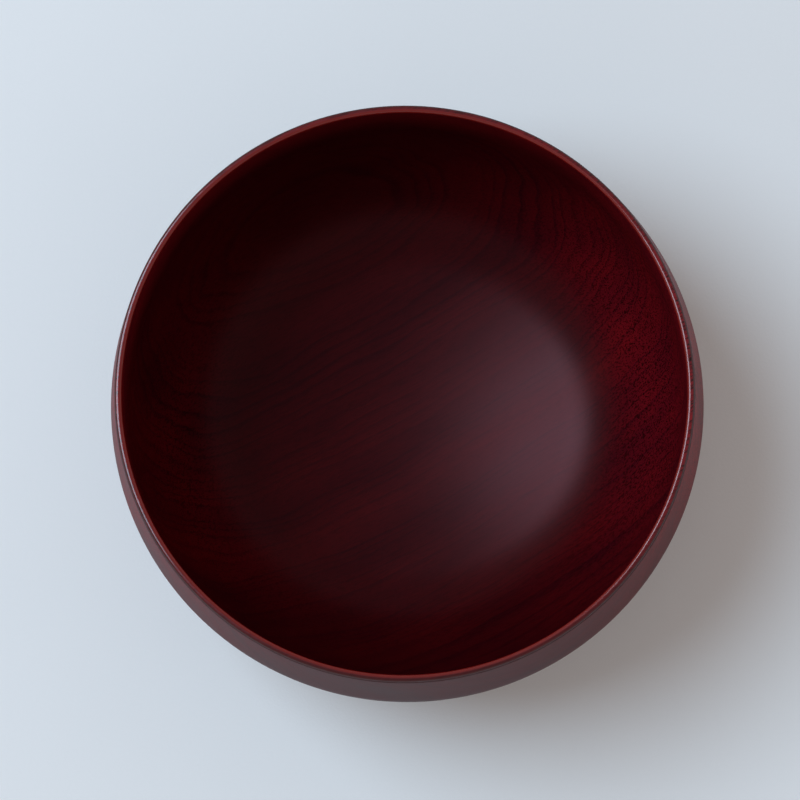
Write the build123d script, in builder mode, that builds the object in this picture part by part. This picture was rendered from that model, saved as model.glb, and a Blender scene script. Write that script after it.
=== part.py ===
from build123d import *
from math import acos, atan2, degrees, hypot, radians, tan
import os

# A rice bowl: one block of wood, turned on a lathe with its foot ring in one with it, and
# lacquered in three goes: the outside, then the inside and the lip, then the foot's underside.
# Millimetres, +Z up. The origin is on the ground, in the middle of the foot ring.
# Every size below is one of the finished bowl, with its lacquer on.

# The outline
height = 70.0
belly_diameter = 120.0      # the widest place
belly_height = 44.5         # how far up the widest place is
mouth_diameter = 113.4      # outside, at the lip
round_bottom = 3.5          # where the outer round would reach the axis, inside the foot
outside_fullness = 0.88     # the belly arc's radius over the depth of the round below it
inside_fullness = 0.92      # the same inside

# The wall
lip_thickness = 1.4
belly_wall = 3.4
floor_wall = 6.0            # on the axis, over the foot's recess

# The foot ring
foot_diameter = 56.0        # at the ground
foot_wall = 3.6
foot_flare = 5.0            # degrees that the foot's side leans, wider at the ground
recess_depth = 5.0          # on the axis
recess_crown = 0.6          # how much deeper the recess is in the middle than at its edge

# Rounded edges
lip_round = min(0.6, 0.45 * lip_thickness)
foot_edge_round = min(0.8, 0.4 * foot_wall)
neck_round = 1.6            # where the foot meets the round
recess_round = 1.8          # in the corner of the recess

# The lacquer
coat = 0.2
lip_turnover = 1.6          # how far the inside's coat runs down the outside of the lip
foot_turnover = 1.2         # how far the underside's coat runs up the foot's side

belly_radius = belly_diameter / 2
mouth_radius = mouth_diameter / 2
foot_radius = foot_diameter / 2
recess_radius = foot_radius - foot_wall
recess_edge = recess_depth - recess_crown
floor_height = recess_depth + floor_wall


def turned_round(widest_radius, bottom_height, fullness, lip_radius):
    """Half of a turned round, closed on the axis: floor arc, belly arc and straight wall up to the lip."""
    round_depth = belly_height - bottom_height
    belly_arc = fullness * round_depth
    belly_x = widest_radius - belly_arc
    arc_gap = round_depth - belly_arc
    floor_center = belly_height + (belly_x**2 - arc_gap**2) / (2 * arc_gap)
    floor_end = degrees(atan2(belly_height - floor_center, belly_x))
    lip_x = lip_radius - belly_x
    lip_z = height - belly_height
    belly_end = degrees(atan2(lip_z, lip_x) - acos(belly_arc / hypot(lip_x, lip_z)))
    with BuildLine() as outline:
        CenterArc((0, floor_center), floor_center - bottom_height, -90, floor_end + 90)
        belly = CenterArc((belly_x, belly_height), belly_arc, floor_end, belly_end - floor_end)
        Polyline(belly @ 1, (lip_radius, height), (0, height), (0, bottom_height))
    return outline.edges()


# The finished bowl in section. Its right half is drawn, its corners rounded, and then mirrored.
with BuildSketch(Plane.XZ) as finished_section:
    make_face(turned_round(belly_radius, round_bottom, outside_fullness, mouth_radius))
    with BuildLine() as foot_outline:
        foot_top_radius = foot_radius - belly_height * tan(radians(foot_flare))
        Polyline(
            (0, 0), (foot_radius, 0), (foot_top_radius, belly_height), (0, belly_height), close=True
        )
    make_face()
    fillet(finished_section.vertices().group_by(Axis.Y)[1], radius=neck_round)
    inside_radius = belly_radius - belly_wall
    inside_lip_radius = mouth_radius - lip_thickness
    make_face(
        turned_round(inside_radius, floor_height, inside_fullness, inside_lip_radius),
        mode=Mode.SUBTRACT,
    )
    fillet(finished_section.vertices().group_by(Axis.Y)[-1], radius=lip_round)
    with BuildLine() as recess_outline:
        Polyline(
            (-recess_radius, recess_edge),
            (-recess_radius, 0),
            (recess_radius, 0),
            (recess_radius, recess_edge),
        )
        ThreePointArc((recess_radius, recess_edge), (0, recess_depth), (-recess_radius, recess_edge))
    make_face(mode=Mode.SUBTRACT)
    corners = finished_section.vertices()
    fillet(corners.sort_by_distance((recess_radius, recess_edge))[0], radius=recess_round)
    fillet(finished_section.vertices().group_by(Axis.Y)[0], radius=foot_edge_round)
    mirror(about=Plane.YZ)

# The turned wood is one coat smaller all round, and the coats are what is left over.
with BuildSketch(Plane.XZ) as wood_section:
    add(finished_section.sketch_local)
    offset(amount=-coat)
    Rectangle(belly_diameter, 3 * height, align=(Align.MIN, Align.CENTER), mode=Mode.INTERSECT)

with BuildSketch(Plane.XZ) as coat_section:
    add(finished_section.sketch_local)
    Rectangle(belly_diameter, 3 * height, align=(Align.MIN, Align.CENTER), mode=Mode.INTERSECT)
    add(wood_section.sketch_local, mode=Mode.SUBTRACT)

# Between the two partings lie three strips, and the one furthest from the axis is the outside's.
with BuildSketch(Plane.XZ) as outside_section:
    add(coat_section.sketch_local)
    with Locations((0, foot_turnover)):
        Rectangle(
            belly_diameter,
            height - lip_turnover - foot_turnover,
            align=(Align.MIN, Align.MIN),
            mode=Mode.INTERSECT,
        )
    other_strips = outside_section.faces().sort_by(Axis.X)[:-1]
    add(other_strips, mode=Mode.SUBTRACT)

# Without it the coats fall into two: the inside's with the lip, and the underside's below.
with BuildSketch(Plane.XZ) as parted_section:
    add(coat_section.sketch_local)
    add(outside_section.sketch_local, mode=Mode.SUBTRACT)

inside_strip = parted_section.sketch.faces().sort_by(Axis.Z)[-1]
foot_strip = parted_section.sketch.faces().sort_by(Axis.Z)[0]

with BuildPart() as wood_body:
    revolve(wood_section.sketch, axis=Axis.Z)

with BuildPart() as outside_lacquer:
    revolve(outside_section.sketch, axis=Axis.Z)

with BuildPart() as inside_lacquer:
    revolve(inside_strip, axis=Axis.Z)

with BuildPart() as foot_lacquer:
    revolve(foot_strip, axis=Axis.Z)

os.makedirs("parts", exist_ok=True)

wood_body.part.label = "wood_body"
export_step(wood_body.part, "parts/wood_body.step")

outside_lacquer.part.label = "outside_lacquer"
export_step(outside_lacquer.part, "parts/outside_lacquer.step")

inside_lacquer.part.label = "inside_lacquer"
export_step(inside_lacquer.part, "parts/inside_lacquer.step")

foot_lacquer.part.label = "foot_lacquer"
export_step(foot_lacquer.part, "parts/foot_lacquer.step")
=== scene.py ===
from math import acos, atan2, ceil, cos, pi, radians, sin, sqrt, tan

import bpy
from mathutils import Matrix, Vector


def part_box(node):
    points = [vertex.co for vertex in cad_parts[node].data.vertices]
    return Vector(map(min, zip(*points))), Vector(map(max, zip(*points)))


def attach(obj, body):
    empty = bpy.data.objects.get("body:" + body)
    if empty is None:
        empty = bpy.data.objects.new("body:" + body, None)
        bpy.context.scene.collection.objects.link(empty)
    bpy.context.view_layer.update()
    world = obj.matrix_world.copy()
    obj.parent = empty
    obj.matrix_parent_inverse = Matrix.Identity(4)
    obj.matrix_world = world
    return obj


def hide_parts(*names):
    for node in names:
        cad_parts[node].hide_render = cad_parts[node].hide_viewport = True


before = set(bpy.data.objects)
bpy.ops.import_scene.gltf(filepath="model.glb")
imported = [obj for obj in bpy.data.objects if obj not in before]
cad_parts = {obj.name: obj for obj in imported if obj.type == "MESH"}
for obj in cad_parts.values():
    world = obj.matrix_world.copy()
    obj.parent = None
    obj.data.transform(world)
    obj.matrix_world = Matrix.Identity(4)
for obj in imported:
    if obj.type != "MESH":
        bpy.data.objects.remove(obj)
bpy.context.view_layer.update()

# A turned wooden rice bowl, wiped with dark red lacquer through which the grain shows.
# Lengths are in metres, +Z is up, and the bowl stands on the table with its foot at the origin.

MM = 0.001

# The bowl's outline. Its overall sizes come from the frame.
COAT = 0.2 * MM
BELLY_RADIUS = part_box("outside_lacquer")[1].x
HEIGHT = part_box("inside_lacquer")[1].z
FLOOR_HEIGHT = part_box("inside_lacquer")[0].z + COAT
BELLY_HEIGHT = 44.5 * MM
MOUTH_RADIUS = 56.7 * MM
LIP_THICKNESS = 1.4 * MM
BELLY_WALL = 3.4 * MM
ROUND_BOTTOM = 3.5 * MM
OUTSIDE_FULLNESS = 0.88
INSIDE_FULLNESS = 0.92
FOOT_RADIUS = 28.0 * MM
FOOT_FLARE = radians(5)
RECESS_RADIUS = 24.4 * MM
RECESS_DEPTH = 5.0 * MM
RECESS_CROWN = 0.6 * MM

# Rounded edges, and where one coat ends and the next begins.
LIP_ROUND = 0.6 * MM
FOOT_EDGE_ROUND = 0.8 * MM
NECK_ROUND = 1.6 * MM
RECESS_ROUND = 1.8 * MM
COAT_EDGE = 0.02 * MM
SHARP_CORNER = radians(60)  # a coat's edges that turn by more than this are rounded
SOFT_BEND = radians(20)     # faces that turn by less than this are shaded as one
LIP_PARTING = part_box("outside_lacquer")[1].z
FOOT_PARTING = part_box("outside_lacquer")[0].z

AROUND = 256                # flats round the bowl
STEP = 1.1 * MM             # about how far apart the points of an arc are
LONG_STEP = 4.0 * MM        # the same on a straight stretch

# The block that the bowl was cut from: its fibres lie level, and its growth rings stand almost upright.
FIBRE_TURN = radians(15.6)
RING_TILT = radians(-12)
FIBRE = Vector((cos(FIBRE_TURN), sin(FIBRE_TURN), 0))
ACROSS_RINGS = Matrix.Rotation(RING_TILT, 3, FIBRE) @ Vector((-FIBRE.y, FIBRE.x, 0))
UP_RINGS = FIBRE.cross(ACROSS_RINGS)
STRAIGHT_UP = Vector((0, 0, 1))

# The camera looks down on the bowl, leaning a little over its front, and is rolled about its own axis.
# Its lens and its sensor are in millimetres.
CAMERA_DISTANCE = 668 * MM
CAMERA_LEAN = radians(6.6)
CAMERA_ROLL = radians(12.9)
LENS = 153.8
SENSOR = 36.0
AIM = (-0.77 * MM, -1.78 * MM)    # what the camera centres on, right and up from the mouth's middle

TABLE_SIZE = 6
TABLE_DROP = 0.02 * MM      # keeps the table's top apart from the foot's ground face


# ---- Outlines, drawn in the XZ plane as (x, z) points ----

def start_outline(name, corner):
    """Starts a piece as one vertex of its outline, in edit mode."""
    bpy.ops.object.select_all(action="DESELECT")
    bpy.ops.mesh.primitive_plane_add(size=COAT)
    piece = bpy.context.object
    piece.name = piece.data.name = name
    bpy.ops.object.mode_set(mode="EDIT")
    bpy.ops.mesh.select_mode(type="VERT")
    bpy.ops.mesh.merge(type="CENTER")
    bpy.ops.transform.translate(value=(corner.x, 0, corner.y))
    return piece


def straight(start, end):
    """Extrudes the last vertex straight to another point."""
    steps = max(1, ceil((end - start).length / LONG_STEP))
    move = (end - start) / steps
    for _ in range(steps):
        bpy.ops.mesh.extrude_region_move(TRANSFORM_OT_translate={"value": (move.x, 0, move.y)})
    return end


def arc(center, start, end, fewest=6):
    """Spins the last vertex round a centre, from one point to another as far from it."""
    first = start - center
    last = end - center
    angle = -first.angle_signed(last)
    steps = max(fewest, ceil(first.length * abs(angle) / STEP))
    bpy.ops.mesh.spin(steps=steps, angle=angle, center=(center.x, 0, center.y), axis=(0, 1, 0))
    return end


def round_corner(start, corner, toward, radius):
    """Goes straight to a corner and round it, to where the stretch towards the next point begins."""
    before = (corner - start).normalized()
    after = (toward - corner).normalized()
    turn = -before.angle_signed(after)
    setback = radius * tan(abs(turn) / 2)
    side = 1 if turn > 0 else -1
    begin = corner - before * setback
    center = begin + Vector((-before.y, before.x)) * side * radius
    straight(start, begin)
    return arc(center, begin, corner + after * setback)


def turned_round(widest, bottom, fullness, lip_radius):
    """The centres of a turned round's floor and belly arcs, their meeting, and the belly's end."""
    depth = BELLY_HEIGHT - bottom
    belly_arc = fullness * depth
    belly = Vector((widest - belly_arc, BELLY_HEIGHT))
    gap = depth - belly_arc
    floor = Vector((0, BELLY_HEIGHT + (belly.x**2 - gap**2) / (2 * gap)))
    meeting = belly + (belly - floor).normalized() * belly_arc
    to_lip = Vector((lip_radius, HEIGHT)) - belly
    angle = atan2(to_lip.y, to_lip.x) - acos(belly_arc / to_lip.length)
    belly_end = belly + Vector((cos(angle), sin(angle))) * belly_arc
    return floor, belly, meeting, belly_end


def finish_coat(piece):
    """Spins an outline round Z, closes its seam and pole, and gives it a coat's thickness inwards."""
    bpy.ops.mesh.select_all(action="SELECT")
    bpy.ops.mesh.spin(steps=AROUND, angle=2 * pi, center=(0, 0, 0), axis=(0, 0, 1))
    bpy.ops.mesh.select_all(action="SELECT")
    bpy.ops.mesh.remove_doubles(threshold=COAT / 20)
    bpy.ops.mesh.normals_make_consistent(inside=False)
    bpy.ops.object.mode_set(mode="OBJECT")
    wall = piece.modifiers.new("coat", "SOLIDIFY")
    wall.thickness = COAT
    wall.offset = -1
    wall.use_even_offset = True
    bpy.ops.object.modifier_apply(modifier=wall.name)
    edge = piece.modifiers.new("edge", "BEVEL")
    edge.width = COAT_EDGE
    edge.segments = 2
    edge.limit_method = "ANGLE"
    edge.angle_limit = SHARP_CORNER
    bpy.ops.object.modifier_apply(modifier=edge.name)
    bpy.ops.object.shade_smooth_by_angle(angle=SOFT_BEND)
    return piece


# ---- The three coats ----

def lip_corners():
    """The lip's sharp corners before rounding, inside first."""
    return Vector((MOUTH_RADIUS - LIP_THICKNESS, HEIGHT)), Vector((MOUTH_RADIUS, HEIGHT))


def outer_wall_at(z, belly_end):
    """A point on the straight outer wall between the belly and the lip."""
    lip = lip_corners()[1]
    return belly_end.lerp(lip, (z - belly_end.y) / (lip.y - belly_end.y))


def make_inside_coat():
    """The floor, the wall, the lip and a short turnover down the outside of the lip."""
    inner_lip, outer_lip = lip_corners()
    floor, belly, meeting, belly_end = turned_round(
        BELLY_RADIUS - BELLY_WALL, FLOOR_HEIGHT, INSIDE_FULLNESS, inner_lip.x
    )
    outer_end = turned_round(BELLY_RADIUS, ROUND_BOTTOM, OUTSIDE_FULLNESS, MOUTH_RADIUS)[3]
    middle = Vector((0, FLOOR_HEIGHT))
    piece = start_outline("inside_coat", middle)
    point = arc(floor, middle, meeting)
    point = arc(belly, point, belly_end)
    point = round_corner(point, inner_lip, outer_lip, LIP_ROUND)
    point = round_corner(point, outer_lip, outer_end, LIP_ROUND)
    straight(point, outer_wall_at(LIP_PARTING, outer_end))
    return finish_coat(piece)


def foot_side():
    """The foot's outer corner at the ground, and the direction up its side."""
    return Vector((FOOT_RADIUS, 0)), Vector((-sin(FOOT_FLARE), cos(FOOT_FLARE)))


def make_outside_coat():
    """The outer wall from just under the lip, down over the belly and the neck to near the ground."""
    floor, belly, meeting, belly_end = turned_round(
        BELLY_RADIUS, ROUND_BOTTOM, OUTSIDE_FULLNESS, MOUTH_RADIUS
    )
    ground, up = foot_side()
    out = Vector((up.y, -up.x))
    floor_arc = (meeting - floor).length
    reach = ground + out * NECK_ROUND - floor
    rise = reach.dot(up)
    climb = -rise - sqrt(rise**2 - reach.length_squared + (floor_arc + NECK_ROUND)**2)
    neck = floor + reach + up * climb
    top = outer_wall_at(LIP_PARTING, belly_end)
    piece = start_outline("outside_coat", top)
    point = straight(top, belly_end)
    point = arc(belly, point, meeting)
    point = arc(floor, point, floor + (neck - floor).normalized() * floor_arc)
    point = arc(neck, point, ground + up * climb)
    straight(point, ground + up * (FOOT_PARTING / up.y))
    return finish_coat(piece)


def make_foot_coat():
    """The bottom of the foot's side, its ground face, and the recess inside it."""
    ground, up = foot_side()
    inner_ground = Vector((RECESS_RADIUS, 0))
    crown = Vector((0, RECESS_DEPTH - (RECESS_RADIUS**2 + RECESS_CROWN**2) / (2 * RECESS_CROWN)))
    crown_arc = RECESS_DEPTH - crown.y
    corner_x = RECESS_RADIUS - RECESS_ROUND
    corner = Vector((corner_x, crown.y + sqrt((crown_arc - RECESS_ROUND)**2 - corner_x**2)))
    start = ground + up * (FOOT_PARTING / up.y)
    piece = start_outline("foot_coat", start)
    point = round_corner(start, ground, inner_ground, FOOT_EDGE_ROUND)
    point = round_corner(point, inner_ground, Vector((RECESS_RADIUS, RECESS_DEPTH)), FOOT_EDGE_ROUND)
    point = straight(point, Vector((RECESS_RADIUS, corner.y)))
    point = arc(corner, point, crown + (corner - crown).normalized() * crown_arc)
    arc(crown, point, Vector((0, RECESS_DEPTH)))
    return finish_coat(piece)


# ---- Finishes ----

class Signal:
    """A socket that can be used in sums. Each sum on it adds a Math node."""

    def __init__(self, finish, socket):
        self.finish = finish
        self.socket = socket

    def math(self, operation, *values):
        return self.finish.node("ShaderNodeMath", {"operation": operation}, dict(enumerate(values)))

    def __add__(self, other):
        return self.math("ADD", self, other)

    def __sub__(self, other):
        return self.math("SUBTRACT", self, other)

    def __rsub__(self, other):
        return self.math("SUBTRACT", other, self)

    def __mul__(self, other):
        return self.math("MULTIPLY", self, other)

    def __truediv__(self, other):
        return self.math("DIVIDE", self, other)

    def __pow__(self, other):
        return self.math("POWER", self, other)

    __radd__ = __add__
    __rmul__ = __mul__


class Finish:
    """A node material that is being put together."""

    def __init__(self, name):
        self.material = bpy.data.materials.new(name)
        self.material.use_nodes = True
        self.tree = self.material.node_tree
        self.shader = self.tree.nodes["Principled BSDF"]

    def node(self, kind, settings, sockets, output=0):
        """Adds a node: its settings come first, and then its sockets' values or links."""
        made = self.tree.nodes.new(kind)
        for name, value in settings.items():
            setattr(made, name, value)
        for key, value in sockets.items():
            if isinstance(value, Signal):
                self.tree.links.new(value.socket, made.inputs[key])
            else:
                made.inputs[key].default_value = value
        return Signal(self, made.outputs[output])

    def vector_math(self, operation, sockets, output=0):
        return self.node("ShaderNodeVectorMath", {"operation": operation}, sockets, output)

    def position(self):
        """Where a point of the piece is, in millimetres."""
        place = self.node("ShaderNodeTexCoord", {}, {}, "Object")
        return self.vector_math("SCALE", {0: place, "Scale": 1 / MM})

    def along(self, place, direction):
        """How far a place lies along a direction."""
        return self.vector_math("DOT_PRODUCT", {0: place, 1: direction}, "Value")

    def radius(self, place):
        """How far a place is from the bowl's axis."""
        flat = self.vector_math("MULTIPLY", {0: place, 1: (1, 1, 0)})
        return self.vector_math("LENGTH", {0: flat}, "Value")

    def joined(self, x, y, z):
        """Three values as one place."""
        return self.node("ShaderNodeCombineXYZ", {}, {0: x, 1: y, 2: z})

    def noise(self, place, scale, detail=2.0, roughness=0.5):
        """Noise around 0.5 whose lumps are about 1/scale across."""
        sockets = {"Vector": place, "Scale": scale, "Detail": detail, "Roughness": roughness}
        return self.node("ShaderNodeTexNoise", {"noise_dimensions": "3D"}, sockets, "Fac")

    def line_noise(self, value, scale, detail=1.0):
        """Noise that changes with one value only."""
        sockets = {"W": value, "Scale": scale, "Detail": detail}
        return self.node("ShaderNodeTexNoise", {"noise_dimensions": "1D"}, sockets, "Fac")

    def fade(self, value, low, high, start=0.0, end=1.0):
        """Goes smoothly from start to end while a value goes from low to high."""
        sockets = {"Value": value, "From Min": low, "From Max": high, "To Min": start, "To Max": end}
        return self.node("ShaderNodeMapRange", {"interpolation_type": "SMOOTHSTEP"}, sockets)

    def blend(self, factor, first, second):
        """A colour between two colours."""
        settings = {"data_type": "RGBA", "clamp_factor": True}
        sockets = {0: factor, MIX_FIRST: first, MIX_SECOND: second}
        return self.node("ShaderNodeMix", settings, sockets, MIX_RESULT)

    def shaded(self, color, brightness):
        """A colour made lighter or darker by a value around 1."""
        return self.vector_math("SCALE", {0: color, "Scale": brightness})

    def bump(self, height, distance):
        """Relief for the shader's normal, as deep as a distance where the height goes from 0 to 1."""
        sockets = {"Height": height, "Distance": distance, "Strength": 1.0}
        return self.node("ShaderNodeBump", {}, sockets)

    def set(self, **sockets):
        """Feeds the shader's sockets, named with _ for a space."""
        for name, value in sockets.items():
            socket = self.shader.inputs[name.replace("_", " ")]
            if isinstance(value, Signal):
                self.tree.links.new(value.socket, socket)
            else:
                socket.default_value = value
        return self.material


# The Mix node has its sockets for every kind of value in one list. These are the ones for colours.
MIX_FIRST = 6
MIX_SECOND = 7
MIX_RESULT = 2


def color(red, green, blue):
    """A solid colour, in linear light."""
    return (red, green, blue, 1.0)


# The colours of each surface where it is darkest and where it is lightest. The underside is as the inside.
DARK = color(0.029, 0.001, 0.0028)
LIGHT = color(0.072, 0.0017, 0.0028)
OUTER_DARK = color(0.045, 0.0016, 0.0032)
OUTER_LIGHT = color(0.095, 0.0034, 0.0054)
WORN_LIP = color(0.15, 0.007, 0.005)
# Painted shade on the lip's turnover, where the lip's rounding turns away from the light.
PAINTED_TURNOVER_SHADE = color(0.035, 0.002, 0.002)
WOOD_DARK = color(0.26, 0.13, 0.055)
WOOD_LIGHT = color(0.5, 0.3, 0.15)
TABLE_DARK = color(0.785, 0.785, 0.785)
TABLE_LIGHT = color(0.815, 0.815, 0.815)

# The fibres under the lacquer throw back some red light of their own, in the direction of the gloss.
SHEEN = {"Specular_IOR_Level": 0.2, "Specular_Tint": color(1.0, 0.42, 0.46)}
# The outside was rubbed down to a duller finish.
DULL_SHEEN = {"Specular_IOR_Level": 0.05, "Specular_Tint": color(1.0, 0.6, 0.6)}
LACQUER_IOR = 1.5
LACQUER_RELIEF = 0.002 * MM
WOOD_RELIEF = 0.02 * MM
TABLE_RELIEF = 0.03 * MM

# From here to the end of the finishes, lengths are in millimetres, as the positions are.
# How far the bowl's middle was from the tree's, and how far apart the growth rings are.
PITH_DISTANCE = 95.0
RING_WIDTH = 2.3

# The direction in which end grain shows most, as its parts along the fibres and back across the rings.
END_ALONG = 0.94
END_ACROSS = 0.34
END_NARROWNESS = 1.6

# Each of these is where something begins and where it is full, from the axis or above the table.
END_GRAIN_OUT = (36.0, 50.0)
# The painted fill light, which lightens the upper wall, rises over these heights and grows across the
# rings towards the pith.
PAINTED_FILL_UP = (44.0, 67.0)
PAINTED_FILL_ACROSS = (0.0, 46.0)
LIP_TOP = (69.05, 69.5)
LIP_CREST = (69.35, 69.8)
LIP_MIDDLE = (55.75, 56.2)
TURNOVER_OUT = (56.35, 56.6)
TURNOVER_UP = (67.6, 68.2)


class Grain:
    """The figure of the wood, worked out for every point of the block that the bowl was turned from, and a
    painted fill light high on the wall.
    """

    def __init__(self, finish):
        self.place = finish.position()
        self.radius = finish.radius(self.place)
        self.height = finish.along(self.place, STRAIGHT_UP)
        fibre = finish.along(self.place, FIBRE)
        across = finish.along(self.place, ACROSS_RINGS)
        up = finish.along(self.place, UP_RINGS)

        def drawn_out(shrink):
            """The block's coordinates, shrunk along the fibres, so that noise is drawn out along them."""
            return finish.joined(fibre * shrink, across, up)

        # The rings lie round the pith. They sway along the block and aren't evenly apart.
        sway = finish.noise(drawn_out(0.35), scale=0.05)
        wave = finish.noise(drawn_out(0.25), scale=0.3)
        from_pith = ((PITH_DISTANCE - across)**2 + up**2)**0.5
        depth = from_pith + (sway - 0.5) * 8.0 + (wave - 0.5) * 0.8
        uneven = depth + (finish.line_noise(depth, scale=0.11) - 0.5) * 8.0
        rings = uneven / RING_WIDTH
        number = rings.math("FLOOR", rings)

        # How far through its ring a point is, how strong that ring is, and broad bands of several rings.
        self.ring = rings.math("FRACT", rings)
        self.strength = finish.line_noise(number * 7.3, scale=1.0, detail=0.0)
        self.band = finish.line_noise(depth, scale=0.07, detail=2.0)

        # Fine streaks, the cells that are left open as pores, and soft patches.
        self.fine = finish.noise(drawn_out(0.06), scale=2.2, detail=3.0, roughness=0.6)
        self.cells = finish.noise(drawn_out(0.12), scale=2.9, roughness=0.6)
        self.cloud = finish.noise(drawn_out(0.4), scale=0.09)

        # End grain shows where the wall cuts across the fibres, on two opposite sides.
        facing = (fibre * END_ALONG - across * END_ACROSS) / self.radius
        self.end = (facing * facing)**END_NARROWNESS * finish.fade(self.radius, *END_GRAIN_OUT)

        # Painted fill light: the wall is painted lighter high up, most of all on the side nearest the
        # pith.
        painted_fill_side = finish.fade(across, *PAINTED_FILL_ACROSS)
        self.painted_fill = finish.fade(self.height, *PAINTED_FILL_UP) * (0.3 + painted_fill_side * 1.4)


def lacquered_wood(name, dark, light, roughness, sheen, lip=False):
    """Wood under a half-transparent lacquer film: rings, streaks and open pores show through."""
    finish = Finish(name)
    grain = Grain(finish)
    early = finish.fade(grain.ring, 0.05, 0.5, start=1.0, end=0.0)
    early = early * finish.fade(grain.ring, 0.0, 0.12)
    late = finish.fade(grain.ring, 0.6, 1.0)
    pores = finish.fade(grain.cells + early * 0.05, 0.5, 0.62)
    tone = 0.45 + (grain.band - 0.5) + (grain.cloud - 0.5) * 0.9 + (grain.fine - 0.5) * 0.7
    tone = tone - early * (grain.strength * 0.5) + late * 0.06
    body = finish.blend(tone, dark, light)
    # End grain is lighter, and the painted fill light lightens the upper wall; the pores stand out more in
    # both.
    end_grain_and_painted_fill = (0.7 + grain.end * 1.35) * (1 + grain.painted_fill)
    shade = end_grain_and_painted_fill * (1.1 - pores * (0.22 + grain.end * 0.6 + grain.painted_fill * 0.2))
    surface = finish.shaded(body, shade)
    dullness = roughness + (grain.cloud - 0.5) * 0.05 + (grain.band - 0.5) * 0.04
    if lip:
        surface, polish, turnover = lip_edge(finish, grain, surface)
        dullness = dullness + turnover * 0.5
        finish.set(Coat_Weight=polish, Coat_Roughness=0.12, Coat_IOR=LACQUER_IOR)
    normal = finish.bump(grain.fine * 0.5 - pores * 0.5, LACQUER_RELIEF)
    return finish.set(Base_Color=surface, Roughness=dullness, IOR=LACQUER_IOR, Normal=normal, **sheen)


def lip_edge(finish, grain, surface):
    """The lip is worn redder inside and polished by hands on its crest. Its turnover is dull and painted
    dark, as painted shade where the lip turns away from the light.
    """
    middle = finish.fade(grain.radius, *LIP_MIDDLE, start=1.0, end=0.0)
    worn = finish.blend(finish.fade(grain.height, *LIP_TOP) * middle, surface, WORN_LIP)
    # Painted shade: the turnover below the lip's rounding is painted dark.
    turnover = finish.fade(grain.radius, *TURNOVER_OUT) * finish.fade(grain.height, *TURNOVER_UP)
    edge = finish.blend(turnover, worn, PAINTED_TURNOVER_SHADE)
    wear = finish.noise(grain.place, scale=0.9, detail=3.0)
    polish = finish.fade(grain.height, *LIP_CREST) * (0.5 + wear * 0.5)
    return edge, polish, turnover


def bare_wood():
    """The turned wood under the lacquer."""
    finish = Finish("bare_turned_wood")
    grain = Grain(finish)
    early = finish.fade(grain.ring, 0.0, 0.3, start=1.0, end=0.0)
    pores = finish.fade(grain.cells + early * 0.12, 0.56, 0.68)
    tone = 0.5 + (grain.band - 0.5) + (grain.fine - 0.5) * 0.8 - early * 0.4
    surface = finish.shaded(finish.blend(tone, WOOD_DARK, WOOD_LIGHT), 1 - pores * 0.4)
    normal = finish.bump(grain.fine - pores, WOOD_RELIEF)
    return finish.set(Base_Color=surface, Roughness=0.62 + pores * 0.15, Normal=normal)


def table_top():
    """Pale, matte and very slightly uneven."""
    finish = Finish("pale_matte_table")
    place = finish.position()
    mottle = finish.noise(place, scale=0.02, detail=3.0)
    tooth = finish.noise(place, scale=1.5)
    surface = finish.blend(mottle, TABLE_DARK, TABLE_LIGHT)
    normal = finish.bump(tooth, TABLE_RELIEF)
    return finish.set(Base_Color=surface, Roughness=0.7 + tooth * 0.1, Normal=normal)


# ---- Table, light and camera ----

def make_table():
    bpy.ops.object.select_all(action="DESELECT")
    bpy.ops.mesh.primitive_plane_add(size=TABLE_SIZE, location=(0, 0, -TABLE_DROP))
    table = bpy.context.object
    table.name = "table"
    table.data.materials.append(table_top())


def view_directions():
    """Right, up and towards the camera, as the camera sees them."""
    toward = Vector((0, -sin(CAMERA_LEAN), cos(CAMERA_LEAN)))
    back = Vector((0, cos(CAMERA_LEAN), sin(CAMERA_LEAN)))
    turn = Matrix.Rotation(-CAMERA_ROLL, 3, toward)
    return turn @ Vector((1, 0, 0)), turn @ back, toward


def make_camera():
    right, up, toward = view_directions()
    mouth = Vector((0, 0, HEIGHT))
    data = bpy.data.cameras.new("camera")
    data.lens = LENS
    data.sensor_width = SENSOR
    camera = bpy.data.objects.new("camera", data)
    axes = Matrix((right, up, toward)).transposed().to_4x4()
    place = mouth + right * AIM[0] + up * AIM[1] + toward * CAMERA_DISTANCE
    camera.matrix_world = Matrix.Translation(place) @ axes
    bpy.context.collection.objects.link(camera)
    bpy.context.scene.camera = camera


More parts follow.
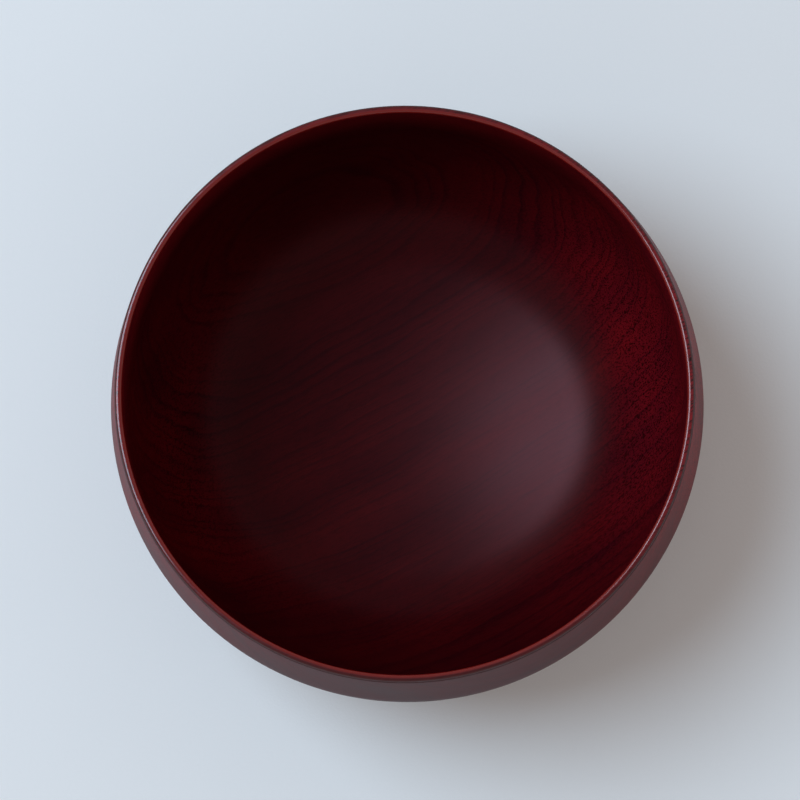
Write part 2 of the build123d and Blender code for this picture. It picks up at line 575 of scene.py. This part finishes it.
def make_soft_light(name, azimuth, zenith, distance, size, power, tint):
    """A round light that faces the bowl. Its azimuth goes anticlockwise from the camera's right."""
    turned = azimuth - CAMERA_ROLL
    direction = Vector((sin(zenith) * cos(turned), sin(zenith) * sin(turned), cos(zenith)))
    data = bpy.data.lights.new(name, "AREA")
    data.shape = "DISK"
    data.size = size
    data.energy = power
    data.color = tint
    light = bpy.data.objects.new(name, data)
    light.location = direction * distance
    light.rotation_euler = direction.to_track_quat("Z", "Y").to_euler()
    bpy.context.collection.objects.link(light)


def make_room(tint, level, overhead):
    """A room whose light goes from one strength at the table's level to another straight above it."""
    world = bpy.data.worlds.new("room")
    world.use_nodes = True
    nodes = world.node_tree.nodes
    link = world.node_tree.links.new
    place = nodes.new("ShaderNodeTexCoord")
    parts = nodes.new("ShaderNodeSeparateXYZ")
    rise = nodes.new("ShaderNodeMapRange")
    rise.inputs["To Min"].default_value = level
    rise.inputs["To Max"].default_value = overhead
    link(place.outputs["Generated"], parts.inputs["Vector"])
    link(parts.outputs["Z"], rise.inputs["Value"])
    link(rise.outputs["Result"], nodes["Background"].inputs["Strength"])
    nodes["Background"].inputs["Color"].default_value = tint
    bpy.context.scene.world = world


def show(piece, material, slot, *replaced):
    """Gives a finished piece its material and its place in the frame."""
    piece.data.materials.append(material)
    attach(piece, "root")
    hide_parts(*replaced)


show(
    make_inside_coat(),
    lacquered_wood("inside_red_lacquer", DARK, LIGHT, roughness=0.3, sheen=SHEEN, lip=True),
    "inside_lacquer",
    "inside_lacquer",
)
show(
    make_outside_coat(),
    lacquered_wood("outside_red_lacquer", OUTER_DARK, OUTER_LIGHT, roughness=0.42, sheen=DULL_SHEEN),
    "outside_lacquer",
    "outside_lacquer",
)
show(
    make_foot_coat(),
    lacquered_wood("underside_red_lacquer", DARK, LIGHT, roughness=0.4, sheen=DULL_SHEEN),
    "underside_lacquer",
    "foot_lacquer",
)
bpy.data.objects["wood_body"].material_slots[0].material = bare_wood()

make_table()
make_room(tint=color(1.08, 1.0, 0.97), level=0.7, overhead=0.26)
make_soft_light(
    "window",
    azimuth=radians(163),
    zenith=radians(26.5),
    distance=1.2,
    size=0.66,
    power=8.5,
    tint=(0.78, 1.0, 1.2),
)
make_camera()
bpy.context.scene.view_settings.view_transform = "Standard"
